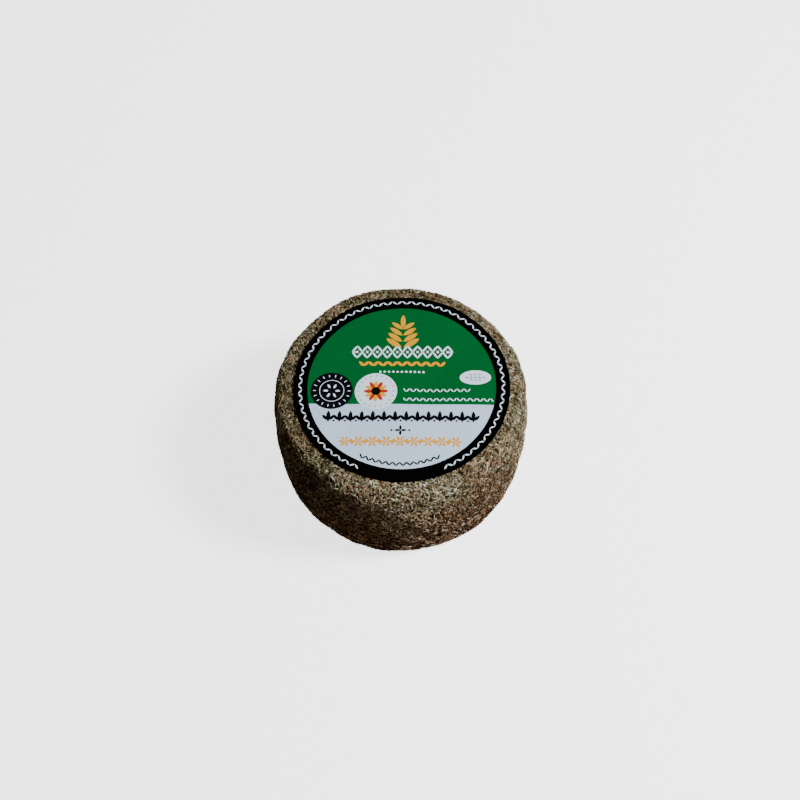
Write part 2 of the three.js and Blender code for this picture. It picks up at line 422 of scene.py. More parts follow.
def thin_leaf(length, width, dish, point, ragged, seed):
    """A thin dished leaf: a flat cone whose underside is pushed up close under its upper side."""
    start_modelling()
    corners = 6
    thickness = 0.1 * MM
    tip_from = 0.42 * length
    tip_width = 0.6
    middle_reach = 0.1 * width
    bpy.ops.mesh.primitive_cone_add(
        vertices=corners, radius1=0.5, radius2=0, depth=dish, end_fill_type="TRIFAN"
    )
    leaf = bpy.context.object
    bpy.ops.object.mode_set(mode="EDIT")
    bpy.ops.mesh.select_all(action="SELECT")
    bpy.ops.transform.rotate(value=math.pi / 2, orient_axis="Z", center_override=(0, 0, 0))
    bpy.ops.transform.resize(value=(length, width, 1), center_override=(0, 0, 0))
    pick(lambda place: abs(place.x) > tip_from)
    bpy.ops.transform.resize(value=(point, tip_width, 1), center_override=(0, 0, 0))
    pick(lambda place: place.z < 0 and math.hypot(place.x, place.y) < middle_reach)
    bpy.ops.transform.translate(value=(0, 0, dish - thickness))
    crumple(ragged, seed)
    return take_shape(leaf)


def thyme_leaf(seed):
    """A small pointed oval leaf, dished by drying."""
    return thin_leaf(1.5 * MM, 0.54 * MM, dish=0.22 * MM, point=1.12, ragged=0.04 * MM, seed=seed)


def oregano_flake(seed):
    """A ragged bit of a crumbled leaf."""
    return thin_leaf(1.2 * MM, 0.74 * MM, dish=0.24 * MM, point=1, ragged=0.1 * MM, seed=seed)


def straw_stem(seed):
    """A thin straight piece of stalk, broken at its ends."""
    length, width = 2.3 * MM, 0.27 * MM
    bend_place = 0.04 * length
    stem = start_stalk(length, width, sides=4)
    cut_across(bend_place)
    crumple(0.04 * MM, seed)
    return take_shape(stem)


def herb_crumb(seed):
    """An angular crumb of leaf or stalk."""
    start_modelling()
    radius, thickness = 0.35 * MM, 0.22 * MM
    middle_reach = 0.1 * MM
    keel_depth = 0.15 * MM
    stretch, narrowing = 2.0, 0.48
    bpy.ops.mesh.primitive_cone_add(
        vertices=4, radius1=radius, radius2=0, depth=thickness, end_fill_type="TRIFAN"
    )
    crumb = bpy.context.object
    bpy.ops.object.mode_set(mode="EDIT")
    pick(lambda place: place.z < 0 and math.hypot(place.x, place.y) < middle_reach)
    bpy.ops.transform.translate(value=(0, 0, -keel_depth))
    bpy.ops.mesh.select_all(action="SELECT")
    bpy.ops.transform.resize(value=(stretch, narrowing, 1))
    crumple(0.07 * MM, seed)
    return take_shape(crumb)


def flower_bud(seed):
    """A rough little ball of dried flower."""
    start_modelling()
    radius = 0.45 * MM
    stretch, flatness = 1.35, 0.75
    bpy.ops.mesh.primitive_ico_sphere_add(subdivisions=1, radius=radius)
    bud = bpy.context.object
    bpy.ops.object.mode_set(mode="EDIT")
    bpy.ops.mesh.select_all(action="SELECT")
    bpy.ops.transform.resize(value=(stretch, 1, flatness))
    crumple(0.16 * MM, seed)
    return take_shape(bud)


def broad_leaf_bit(seed):
    """A broad torn bit of leaf, with folds."""
    start_modelling()
    length, width, thickness = 3.4 * MM, 2.1 * MM, 0.12 * MM
    tip_from = 0.44 * length
    tip_width = 0.45
    bpy.ops.mesh.primitive_grid_add(x_subdivisions=5, y_subdivisions=3, size=1)
    leaf = bpy.context.object
    bpy.ops.object.mode_set(mode="EDIT")
    bpy.ops.mesh.select_all(action="SELECT")
    bpy.ops.transform.resize(value=(length, width, 1))
    pick(lambda place: abs(place.x) > tip_from)
    bpy.ops.transform.resize(value=(1, tip_width, 1))
    crumple(0.2 * MM, seed)
    bpy.ops.mesh.select_all(action="SELECT")
    bpy.ops.mesh.extrude_region_move(TRANSFORM_OT_translate={"value": (0, 0, -thickness)})
    bpy.ops.mesh.select_all(action="SELECT")
    bpy.ops.mesh.normals_make_consistent(inside=False)
    return take_shape(leaf)


# Colours of the herbs. Along U run the tones, first four of a green kind and then four of a brown kind.
# Along V a piece runs from end to end.

GREEN_PLACES = (0.0, 0.17, 0.34, 0.49)
BROWN_PLACES = (0.51, 0.66, 0.83, 1.0)
TONE_WIDTH = 0.02
U_REACH = 0.9 * TONE_WIDTH
V_REACH = 0.48


def herb_material(name, greens, browns, tip_shade, roughness):
    """Dried plant matter: matt and fibrous, with fine streaks along it, and darker at its broken ends."""
    material, tree, shader = new_material(name)
    place = add_node(tree, "ShaderNodeUVMap", uv_map="OFBake").outputs["UV"]
    parts = add_node(tree, "ShaderNodeSeparateXYZ", {"Vector": place})
    ramp = add_node(tree, "ShaderNodeValToRGB", {"Fac": parts.outputs["X"]})
    set_stops(ramp, tuple(zip(GREEN_PLACES + BROWN_PLACES, greens + browns)))
    # On a leaf half a millimetre wide, a streak is 0.2 mm wide and 1 mm long: coarse enough to show.
    streaks_in_width, streaks_in_length = 2.52, 2.4
    streaks_across = streaks_in_width / (2 * U_REACH)
    streaks_along = streaks_in_length / (2 * V_REACH)
    stretched = add_node(
        tree, "ShaderNodeMapping", {"Vector": place, "Scale": (streaks_across, streaks_along, 1)}
    )
    streaks = add_node(
        tree, "ShaderNodeTexNoise", {"Vector": stretched.outputs["Vector"], "Scale": 1.0, "Detail": 2.0}
    )
    ends = add_node(tree, "ShaderNodeValToRGB", {"Fac": parts.outputs["Y"]})
    set_stops(ends, ((0.0, tip_shade), (0.16, "#ffffff"), (0.84, "#ffffff"), (1.0, tip_shade)))
    light = add_node(tree, "ShaderNodeValToRGB", {"Fac": streaks.outputs["Fac"]})
    set_stops(light, ((0.3, "#c4c4c4"), (0.7, "#ffffff")))
    colour = ramp.outputs["Color"]
    for shade in (ends.outputs["Color"], light.outputs["Color"]):
        # A mix node's colours are its inputs 6 and 7 and its output 2.
        mix = add_node(
            tree, "ShaderNodeMix", {"Factor": 1.0, 6: colour, 7: shade},
            data_type="RGBA", blend_type="MULTIPLY",
        )
        colour = mix.outputs[2]
    tree.links.new(colour, shader.inputs["Base Color"])
    shader.inputs["Roughness"].default_value = roughness
    shader.inputs["Specular IOR Level"].default_value = 0.15
    return material


# Where the herbs lie

CRUST_STEPS = (12, 24, 30)
BASE_SHARE = 0.55
BASE_TO = 0.1 * MM
LOWEST_HERB = 0.03 * MM
UNDER_LABEL = 0.22 * MM
LABEL_CLEARANCE = 0.15 * MM
TALLEST_HERB = 0.5 * MM
DEEPEST_DROP = 0.9 * MM
TUCKED_IN = 2.5 * MM
GOLDEN_ANGLE = math.pi * (3 - math.sqrt(5))
ANGLE_SPREAD = 0.15
SMALLEST_SPREAD = -2
LARGEST_SPREAD = 1.8

# Tones of the herbs, from 0 for the darkest to 1 for the palest. A LOW value is added in full at the base
# of the wheel, and not at its top. The LOW change of tone is painted shade, darker towards the base.
# SHADE is painted shade between the herbs: how much lighter herbs on the crust are than those deep in it.
PATCH_TONE = 0.05
SPOT_TONE = 0.07
TOP_TONE = 0.08
LOW_PAINTED_SHADE = -0.34
TOP_PAINTED_GAP_SHADE = 0.1925
LOW_PAINTED_GAP_SHADE = 0.77
SPREAD_SHARE = 0.7
LOW_SPREAD = 0.22
PATCH_GREEN = 0.12
LOW_GREEN = -0.9

# Areas of the crust: degrees round the wheel, height, reach, change of tone, change in the chance of green.
# A fall in tone is painted shade, and a rise is painted light.
AREAS = (
    (212, 29 * MM, 37 * MM, -0.4, 0.28),
    (-130, 54 * MM, 22 * MM, -0.18, 0.05),
    (158, 58 * MM, 32 * MM, -0.15, 0),
    (90, 58 * MM, 50 * MM, -0.25, -0.1),
    (-52, 34 * MM, 24 * MM, -0.14, -0.15),
    (-38, 12 * MM, 28 * MM, -0.35, -0.1),
    (-95, 58 * MM, 35 * MM, 0.14, 0.1),
    (-5, 58 * MM, 30 * MM, 0, 0.15),
)
PATCH_WAVES = 12
SPOT_WAVES = 24
patch_draw = make_draw(WHEEL_SEED + 3)
light_patches = soft_lumps(1.0, 17 * MM, patch_draw, PATCH_WAVES)
green_patches = soft_lumps(1.0, 26 * MM, patch_draw, PATCH_WAVES)
light_spots = soft_lumps(1.0, 5.5 * MM, patch_draw, SPOT_WAVES)


def crust_stretches():
    """The wheel's fine profile, with its slope, its bend and the share of all herbs before each point."""
    profile = wheel_profile(*CRUST_STEPS)
    step = np.linalg.norm(np.diff(profile, axis=0), axis=1)
    length = np.concatenate([[0], np.cumsum(step)])
    travel = np.gradient(profile, axis=0)
    slope = np.unwrap(np.arctan2(travel[:, 1], travel[:, 0]))
    bend = np.gradient(slope, length)
    area = step * (profile[1:, 0] + profile[:-1, 0])
    on_base = profile[:-1, 1] < BASE_TO
    on_top = profile[1:, 1] > WHEEL_HEIGHT / 2
    under_label = profile[1:, 0] < LABEL_RADIUS - TUCKED_IN
    area[on_base] *= BASE_SHARE
    area[on_top & under_label] = 0
    shares = np.concatenate([[0], np.cumsum(area)])
    return profile, slope, bend, shares / shares[-1]


crust_profile, crust_slope, crust_bend, crust_shares = crust_stretches()


def crust_places(count, chance):
    """Evenly spread places on the crust: points, the three directions of the surface, and its two bends."""
    share = (np.arange(count) + chance.uniform(0, 1, count)) / count
    angle = np.arange(count) * GOLDEN_ANGLE + chance.normal(0, ANGLE_SPREAD, count)
    radius, height, slope, bend = (
        np.interp(share, crust_shares, values)
        for values in (crust_profile[:, 0], crust_profile[:, 1], crust_slope, crust_bend)
    )
    cosine, sine = np.cos(angle), np.sin(angle)
    even = np.column_stack([radius * cosine, radius * sine, height])
    out, up = np.sin(slope), -np.cos(slope)
    normal = np.column_stack([out * cosine, out * sine, up])
    around = np.column_stack([-sine, cosine, np.zeros(count)])
    upward = np.cross(normal, around)
    bends = np.column_stack([out / radius, bend])
    return even + normal * unevenness(even)[:, None], (normal, around, upward), bends


def settle(points, origin, directions, bends):
    """Lets pieces hug the wheel as it curves away from their places, and presses down what stands up."""
    offset = points - origin[:, None, :]
    stand, sideways, upwards = (np.einsum("pvk,pk->pv", offset, way) for way in directions)
    drop = (bends[:, :1] * sideways ** 2 + bends[:, 1:] * upwards ** 2) / 2
    lowered = np.minimum(drop, DEEPEST_DROP) + np.maximum(stand - TALLEST_HERB, 0)
    return points - lowered[..., None] * directions[0][:, None, :]


def area_changes(points):
    """How much lighter and greener the herbs are in the wide areas that differ from the rest.
    Their change of tone is painted shade where it falls and painted light where it rises.
    """
    painted_light_and_shade = 0
    greener = 0
    for degrees, height, reach, painted_tone_change, green_change in AREAS:
        angle = math.radians(degrees)
        middle = (WHEEL_RADIUS * math.cos(angle), WHEEL_RADIUS * math.sin(angle), height)
        nearness = np.exp(-((points - middle) ** 2).sum(axis=1) / reach ** 2)
        painted_light_and_shade = painted_light_and_shade + painted_tone_change * nearness
        greener = greener + green_change * nearness
    return painted_light_and_shade, greener


def herb_tones(points, height, chance, middle, spread, green_chance):
    """Picks each piece's place along U: painted shade low down, in the dark areas and deep in the crust."""
    count = len(points)
    low = 1 - points[:, 2] / WHEEL_HEIGHT
    painted_light_and_shade, greener = area_changes(points)
    middle = middle + PATCH_TONE * light_patches(points) + SPOT_TONE * light_spots(points)
    # Painted shade: darker towards the base; the areas add their painted light and shade.
    middle = middle + TOP_TONE + LOW_PAINTED_SHADE * low + painted_light_and_shade
    # Painted shade between the herbs: the ones deep in the crust are darker, more so low down.
    middle = middle + (TOP_PAINTED_GAP_SHADE + LOW_PAINTED_GAP_SHADE * low) * (height - 0.5)
    spread = SPREAD_SHARE * spread + LOW_SPREAD * low
    tone = np.clip(middle + chance.normal(0, 1, count) * spread, 0, 1)
    chance_of_green = green_chance + PATCH_GREEN * green_patches(points) + LOW_GREEN * low + greener
    green = chance.uniform(0, 1, count) < chance_of_green
    room = GREEN_PLACES[-1] - 2 * TONE_WIDTH
    return np.where(green, TONE_WIDTH, BROWN_PLACES[0] + TONE_WIDTH) + room * tone


def keep_clear(points):
    """Keeps herbs above the table, and below the label where they reach under it."""
    points[:, 2] = np.maximum(points[:, 2], LOWEST_HERB)
    near_label = reach_from_label(points) < LABEL_RADIUS + LABEL_CLEARANCE
    beneath = near_label & (points[:, 2] > WHEEL_HEIGHT / 2)
    flat = np.column_stack([points[:, 0], points[:, 1], np.full(len(points), WHEEL_HEIGHT)])
    ceiling = WHEEL_HEIGHT + unevenness(flat) + UNDER_LABEL
    points[:, 2] = np.where(beneath, np.minimum(points[:, 2], ceiling), points[:, 2])
    return points


def tilt(first, second, angles):
    """Turns two directions within their plane, by an angle for each piece."""
    cosine = np.cos(angles)[:, None]
    sine = np.sin(angles)[:, None]
    return cosine * first + sine * second, cosine * second - sine * first


def own_directions(directions, lean, chance):
    """Each piece's length, width and upper side: turned freely on the crust, and leaned a little."""
    normal, around, upward = directions
    count = len(normal)
    along, _ = tilt(around, upward, chance.uniform(0, math.tau, count))
    across = np.cross(normal, along)
    along, out = tilt(along, normal, chance.normal(0, lean, count))
    across, out = tilt(across, out, chance.normal(0, lean, count))
    return along, across, out


def copies(shape, sizes, curls, bows, middles, own):
    """Points of the copies of one shape: sized, curled down, bowed sideways and turned into place."""
    x, y, z = (shape[None, :, axis] * sizes[:, None] for axis in range(3))
    z = z - curls[:, None] * x * x
    y = y + bows[:, None] * x * x
    points = middles[:, None, :]
    for reach, way in zip((x, y, z), own):
        points = points + reach[..., None] * way[:, None, :]
    return points


def bake_places(shape, tones):
    """Places on the OFBake map: U is the tone, spread a little over the width, and V the way along."""
    reach = np.abs(shape).max(axis=0)
    rise_in_u, rise_in_v = 0.4, 0.3
    sideways = np.clip(shape[:, 1] / reach[1] + rise_in_u * shape[:, 2] / reach[2], -1, 1)
    lengthways = (shape[:, 0] + rise_in_v * shape[:, 2]) / (reach[0] + rise_in_v * reach[2])
    u = tones[:, None] + U_REACH * sideways[None, :]
    v = np.broadcast_to(0.5 + V_REACH * lengthways, u.shape)
    return np.stack([u, v], axis=-1).reshape(-1, 2)


def lay_herbs(name, shapes, count, seed, lift, lean, curl, bow, tones, size_spread, material):
    """Lays many copies of a few shapes on the crust, turned, leaned, curled and sized by chance."""
    chance = np.random.default_rng(seed)
    origin, directions, bends = crust_places(count, chance)
    own = own_directions(directions, lean, chance)
    sizes = np.exp(size_spread * np.clip(chance.normal(0, 1, count), SMALLEST_SPREAD, LARGEST_SPREAD))
    height = chance.uniform(0, 1, count)
    middles = origin + directions[0] * (lift[0] + (lift[1] - lift[0]) * height)[:, None]
    curls = chance.normal(0, curl, count)
    bows = chance.normal(0, bow, count)
    tone = herb_tones(origin, height, chance, **tones)
    which = chance.integers(len(shapes), size=count)
    all_points, all_faces, all_uv = [], [], []
    first = 0
    for number, (shape, faces) in enumerate(shapes):
        mine = which == number
        own_of_mine = [way[mine] for way in own]
        crust_of_mine = [way[mine] for way in directions]
        points = copies(shape, sizes[mine], curls[mine], bows[mine], middles[mine], own_of_mine)
        points = settle(points, origin[mine], crust_of_mine, bends[mine])
        starts = first + np.arange(len(points)) * len(shape)
        first += len(points) * len(shape)
        all_points.append(points.reshape(-1, 3))
        all_faces.append((faces[None] + starts[:, None, None]).reshape(-1, 3))
        all_uv.append(bake_places(shape, tone[mine]))
    points = keep_clear(np.concatenate(all_points))
    piece = joined_mesh(name, points, np.concatenate(all_faces), np.concatenate(all_uv))
    return finish_piece(piece, [material])


def lay_fine_herbs():
    """Lays the crumbs and the small leaves."""
    lay_herbs(
        "herb_crumbs", [herb_crumb(seed) for seed in range(4)], count=24500, seed=11,
        lift=(-0.35 * MM, 0.25 * MM), lean=0.5, curl=0, bow=0,
        tones={"middle": 0.5, "spread": 0.34, "green_chance": 0.55}, size_spread=0.3,
        material=herb_material(
            "crumbled_dried_herbs_matt",
            greens=("#1a1c0c", "#616042", "#a29f7a", "#deddc0"),
            browns=("#2f190b", "#7b583b", "#b49371", "#ebd1b5"),
            tip_shade="#d0d0d0", roughness=0.9,
        ),
    )
    lay_herbs(
        "oregano_flakes", [oregano_flake(seed) for seed in range(5)], count=16000, seed=12,
        lift=(-0.5 * MM, 0.1 * MM), lean=0.3, curl=120, bow=0,
        tones={"middle": 0.46, "spread": 0.3, "green_chance": 0.65}, size_spread=0.4,
        material=herb_material(
            "dried_oregano_leaf_matt",
            greens=("#212311", "#6a6949", "#a4a17c", "#d6d5b6"),
            browns=("#331c0e", "#805c3e", "#ae8d6c", "#dac0a1"),
            tip_shade="#a8a8a8", roughness=0.85,
        ),
    )
    lay_herbs(
        "thyme_leaves", [thyme_leaf(seed) for seed in range(5)], count=16000, seed=13,
        lift=(-0.45 * MM, 0.2 * MM), lean=0.22, curl=90, bow=90,
        tones={"middle": 0.5, "spread": 0.3, "green_chance": 0.65}, size_spread=0.25,
        material=herb_material(
            "dried_thyme_leaf_matt",
            greens=("#212311", "#6b6a4a", "#a7a580", "#dbdabc"),
            browns=("#351d0f", "#825f41", "#b49471", "#e2c7a9"),
            tip_shade="#a0a0a0", roughness=0.85,
        ),
    )


def lay_large_herbs():
    """Lays the needles, stalks, flower buds and broad bits of leaf."""
    lay_herbs(
        "rosemary_needles", [rosemary_needle(seed) for seed in range(5)], count=7000, seed=14,
        lift=(-0.35 * MM, 0.15 * MM), lean=0.1, curl=20, bow=60,
        tones={"middle": 0.42, "spread": 0.27, "green_chance": 0.65}, size_spread=0.28,
        material=herb_material(
            "dried_rosemary_needle_waxy",
            greens=("#1e200e", "#616040", "#999671", "#ccccac"),
            browns=("#331c0e", "#7e5c3c", "#aa8a66", "#d5b995"),
            tip_shade="#909090", roughness=0.7,
        ),
    )
    lay_herbs(
        "straw_stems", [straw_stem(seed) for seed in range(5)], count=7000, seed=15,
        lift=(-0.2 * MM, 0.25 * MM), lean=0.1, curl=20, bow=140,
        tones={"middle": 0.56, "spread": 0.26, "green_chance": 0.35}, size_spread=0.4,
        material=herb_material(
            "dry_herb_stalk_straw",
            greens=("#55503d", "#918a6c", "#c2bb9c", "#f1ecd8"),
            browns=("#533e2c", "#957b58", "#c9b18d", "#f3e8cf"),
            tip_shade="#b8b8b8", roughness=0.75,
        ),
    )
    lay_herbs(
        "flower_buds", [flower_bud(seed) for seed in range(4)], count=2000, seed=16,
        lift=(-0.2 * MM, 0.1 * MM), lean=0.5, curl=0, bow=0,
        tones={"middle": 0.6, "spread": 0.2, "green_chance": 0.75}, size_spread=0.35,
        material=herb_material(
            "dried_flower_bud_matt",
            greens=("#595547", "#928e7c", "#c1bcaa", "#e7e3d7"),
            browns=("#55473b", "#8e7b69", "#b6a593", "#ded2c4"),
            tip_shade="#c8c8c8", roughness=0.95,
        ),
    )
    lay_herbs(
        "broad_leaf_bits", [broad_leaf_bit(seed) for seed in range(3)], count=110, seed=17,
        lift=(0.0, 0.15 * MM), lean=0.05, curl=20, bow=10,
        tones={"middle": 0.38, "spread": 0.2, "green_chance": 0.4}, size_spread=0.3,
        material=herb_material(
            "dried_sage_leaf_matt",
            greens=("#3a3524", "#6b644a", "#968d6d", "#bdb598"),
            browns=("#3b2a1d", "#6d5642", "#987f68", "#bca792"),
            tip_shade="#c0c0c0", roughness=0.85,
        ),
    )


# The label

INK_ROUGHNESS = 0.5
BORDER, UPPER_FIELD, LOWER_FIELD = range(3)
ROUND_CORNERS = 48
UPRIGHT = math.pi / 2


def print_material(name, colour, mottle_colour, specular):
    """Coated paper with printed ink: an even satin film with a faint mottle from the press."""
    material, tree, shader = new_material(name)
    place = add_node(tree, "ShaderNodeTexCoord").outputs["Object"]
    mottle_scale = 1 / (1.3 * MM)
    mottle = add_node(
        tree, "ShaderNodeTexNoise", {"Vector": place, "Scale": mottle_scale, "Detail": 3.0, "Roughness": 0.6}
    )
    ramp = add_node(tree, "ShaderNodeValToRGB", {"Fac": mottle.outputs["Fac"]})
    set_stops(ramp, ((0.3, mottle_colour), (0.7, colour)))
    tree.links.new(ramp.outputs["Color"], shader.inputs["Base Color"])
    bump = add_node(
        tree, "ShaderNodeBump", {"Height": mottle.outputs["Fac"], "Strength": 0.15, "Distance": 0.05 * MM}
    )
    tree.links.new(bump.outputs["Normal"], shader.inputs["Normal"])
    shader.inputs["Roughness"].default_value = INK_ROUGHNESS
    shader.inputs["Specular IOR Level"].default_value = specular
    return material


def start_round(corners, radius):
    """A flat round face, in edit mode."""
    start_modelling()
    bpy.ops.mesh.primitive_circle_add(vertices=corners, radius=radius, fill_type="NGON", location=(0, 0, 0))
    piece = bpy.context.object
    bpy.ops.object.mode_set(mode="EDIT")
    return piece


def start_rings(corners, radius):
    """A flat round face, in edit mode and picked for insets."""
    piece = start_round(corners, radius)
    bpy.ops.mesh.select_mode(type="FACE")
    bpy.ops.mesh.select_all(action="SELECT")
    return piece


def mark_fields(label):
    """Gives each face the number of its field's material."""
    for face in label.data.polygons:
        if math.hypot(face.center.x, face.center.y) > RING_INNER:
            face.material_index = BORDER
        elif face.center.y > FIELD_EDGE_Y:
            face.material_index = UPPER_FIELD
        else:
            face.material_index = LOWER_FIELD


def make_label():
    """The round sheet, with a black border, a green upper field and a bare lower field."""
    label = start_rings(LABEL_SECTORS, LABEL_RADIUS)
    label.name = "printed_label"
    border_steps = 3
    field_steps = 13
    for _ in range(border_steps):
        bpy.ops.mesh.inset(thickness=(LABEL_RADIUS - RING_INNER) / border_steps)
    for _ in range(field_steps):
        bpy.ops.mesh.inset(thickness=RING_INNER / (field_steps + 1))
    bpy.ops.mesh.poke()
    bpy.ops.mesh.select_mode(type="VERT")
    bpy.ops.mesh.select_all(action="SELECT")
    bpy.ops.mesh.bisect(plane_co=(0, FIELD_EDGE_Y, 0), plane_no=(0, 1, 0))
    bpy.ops.object.mode_set(mode="OBJECT")
    mark_fields(label)
    apply_modifier(label, "SOLIDIFY", thickness=PAPER_THICKNESS, offset=-1)
    points = read_points(label.data)
    points[:, 0] += LABEL_OFFSET
    points[:, 2] += label_height(points[:, 0], points[:, 1])
    write_points(label.data, points)
    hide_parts("label")
    materials = [
        print_material("black_offset_ink_on_coated_paper", "#030303", "#010101", 0.02),
        print_material("green_offset_ink_on_coated_paper", "#005d2a", "#005526", 0.04),
        print_material("bare_coated_paper_satin", "#c4dbf5", "#bbd2ec", 0.15),
    ]
    return finish_piece(label, materials, smooth=False)


def flat_shape(corners, length, width, tip=1.0):
    """A flat round or pointed shape along X."""
    tip_from = 0.49 * length
    shape = start_round(corners, radius=0.5)
    bpy.ops.mesh.select_all(action="SELECT")
    bpy.ops.transform.rotate(value=math.pi / 2, orient_axis="Z", center_override=(0, 0, 0))
    bpy.ops.transform.resize(value=(length, width, 1))
    pick(lambda place: abs(place.x) > tip_from)
    bpy.ops.transform.resize(value=(tip, 1, 1))
    return take_shape(shape)


def disc_shape(radius):
    """A flat disc with rings of faces, so that it can follow the paper."""
    shape = start_rings(ROUND_CORNERS, radius)
    rings = 3
    for _ in range(rings):
        bpy.ops.mesh.inset(thickness=radius / (rings + 1))
    bpy.ops.mesh.poke()
    bpy.ops.mesh.select_mode(type="VERT")
    return take_shape(shape)


def ring_shape(radius, width):
    """A thin flat ring."""
    shape = start_rings(ROUND_CORNERS, radius)
    bpy.ops.mesh.inset(thickness=width)
    bpy.ops.mesh.delete(type="FACE")
    bpy.ops.mesh.select_mode(type="VERT")
    return take_shape(shape)


def stamp(shape, places):
    """Copies of a flat shape at places (x, y, turn, size), as points and triangles."""
    flat, faces = shape
    points = []
    corners = []
    for number, (x, y, turn, size) in enumerate(places):
        spin = np.array([[math.cos(turn), math.sin(turn)], [-math.sin(turn), math.cos(turn)]])
        points.append(size * flat[:, :2] @ spin + (x, y))
        corners.append(faces + number * len(flat))
    return np.concatenate(points), np.concatenate(corners)


def print_layer(name, stamps, material, level=1):
    """Joins stamped shapes to one thin film of ink that follows the paper."""
    first = 0
    points = []
    faces = []
    for flat, corners in stamps:
        points.append(flat)
        faces.append(corners + first)
        first += len(flat)
    flat = np.concatenate(points) + (LABEL_OFFSET, 0)
    height = label_height(flat[:, 0], flat[:, 1]) + level * INK_LIFT
    piece = joined_mesh(name, np.column_stack([flat, height]), np.concatenate(faces))
    apply_modifier(piece, "SOLIDIFY", thickness=INK_THICKNESS, offset=-1)
    return finish_piece(piece, [material], smooth=False)


def row(x_from, x_to, y, count, turn=0.0, size=1.0):
    """Places in a straight row, given in shares of the label's radius."""
    return [(x * LABEL_RADIUS, y * LABEL_RADIUS, turn, size) for x in np.linspace(x_from, x_to, count)]


def arc(radius, from_degrees, to_degrees, count, turn=0.0, size=1.0):
    """Places on an arc round the label's middle, each turned with the arc."""
    angles = np.radians(np.linspace(from_degrees, to_degrees, count))
    reach = radius * LABEL_RADIUS
    return [(reach * math.cos(a), reach * math.sin(a), a + UPRIGHT + turn, size) for a in angles]


def circle(middle, radius, count, turn=0.0, size=1.0):
    """Places on a small circle, each turned away from its middle."""
    x, y = middle
    places = []
    for number in range(count):
        angle = math.tau * number / count + turn
        places.append((x + radius * math.cos(angle), y + radius * math.sin(angle), angle, size))
    return places


def alternate(places, turn):
    """Turns every second place one way and the others the other way."""
    return [(x, y, t + (turn if i % 2 else -turn), s) for i, (x, y, t, s) in enumerate(places)]


# Print. Rows and arcs are given in shares of the label's radius.

BADGE_MIDDLE = (-0.643 * LABEL_RADIUS, -0.06 * LABEL_RADIUS)
ROSETTE_MIDDLE = (-0.235 * LABEL_RADIUS, -0.062 * LABEL_RADIUS)
OVAL_MIDDLE = (0.68 * LABEL_RADIUS, 0.09 * LABEL_RADIUS)
BADGE_RADIUS = 0.195 * LABEL_RADIUS
FLOWER_RADIUS = 1.6 * MM


def sprig_places():
    """Leaves in pairs up a short upright sprig, with one at its tip."""
    foot, tip_height, tip_size = 0.44 * LABEL_RADIUS, 13.2 * MM, 1.35
    pairs, first_height, pair_step = 4, 1.5 * MM, 3.1 * MM
    first_reach, reach_loss = 3.9 * MM, 0.45 * MM
    first_size, size_loss = 1.6, 0.14
    splay = 0.95
    places = [(0, foot + tip_height, UPRIGHT, tip_size)]
    for step in range(pairs):
        for side in (-1, 1):
            x = side * (first_reach - reach_loss * step)
            y = foot + first_height + pair_step * step
            places.append((x, y, UPRIGHT - side * splay, first_size - size_loss * step))
    return places


def flower_row(petal, dot, x_from, x_to, y, count):
    """Six-petalled flowers in a row."""
    middles = row(x_from, x_to, y, count)
    petals = [place for x, y, _, _ in middles for place in circle((x, y), FLOWER_RADIUS, 6, size=0.85)]
    return [stamp(petal, petals), stamp(dot, middles)]


def white_roundels(disc):
    """A round ground for the rosette, and a small oval one at the right."""
    oval_length, oval_width = 0.29 * LABEL_RADIUS, 0.155 * LABEL_RADIUS
    return [
        stamp(disc, [(*ROSETTE_MIDDLE, 0, 1)]),
        stamp(flat_shape(32, oval_length, oval_width), [(*OVAL_MIDDLE, 0, 1)]),
    ]


def white_band(slim_leaf, dot):
    """A band of open lozenges with dots in them."""
    lozenge_turn = math.radians(55)
    upper, middle, lower, half = 0.404, 0.37, 0.336, 0.448
    return [
        stamp(slim_leaf, alternate(row(-half, half, upper, 20), -lozenge_turn)),
        stamp(slim_leaf, alternate(row(-half, half, lower, 20), lozenge_turn)),
        stamp(dot, row(-0.4244, 0.4244, middle, 10, size=1.6)),
        stamp(dot, row(-half, half, middle, 2, size=1.2)),
    ]


def white_ornament(leaf, slim_leaf, petal, dot):
    """Leaves round the border and in rows, the band, a row of dots, and the dark roundel's rings."""
    return [
        stamp(leaf, alternate(arc(0.937, 246, -64, 112), 0.7)),
        *white_band(slim_leaf, dot),
        stamp(leaf, alternate(row(0.03, 0.62, -0.05, 20, size=0.85), 0.95)),
        stamp(leaf, alternate(row(0.03, 0.83, -0.15, 27, size=0.85), 0.95)),
        stamp(dot, row(-0.2, 0.2, 0.15, 11, size=1.4)),
        stamp(ring_shape(0.115 * LABEL_RADIUS, 0.25 * MM), [(*BADGE_MIDDLE, 0, 1)]),
        stamp(leaf, circle(BADGE_MIDDLE, 0.16 * LABEL_RADIUS, 18, size=0.6)),
        stamp(petal, circle(BADGE_MIDDLE, 0.055 * LABEL_RADIUS, 6, size=0.8)),
    ]


def ochre_ornament(broad_leaf, petal, dot):
    """The sprig, a row of petals under it, and a row of flowers with petals between them."""
    return [
        stamp(broad_leaf, sprig_places()),
        stamp(petal, alternate(row(-0.38, 0.38, 0.24, 18, size=1.15), 0.85)),
        *flower_row(petal, dot, -0.5, 0.5, -0.59, 9),
        stamp(petal, alternate(row(-0.4375, 0.4375, -0.59, 8, size=1.2), 1.2)),
    ]


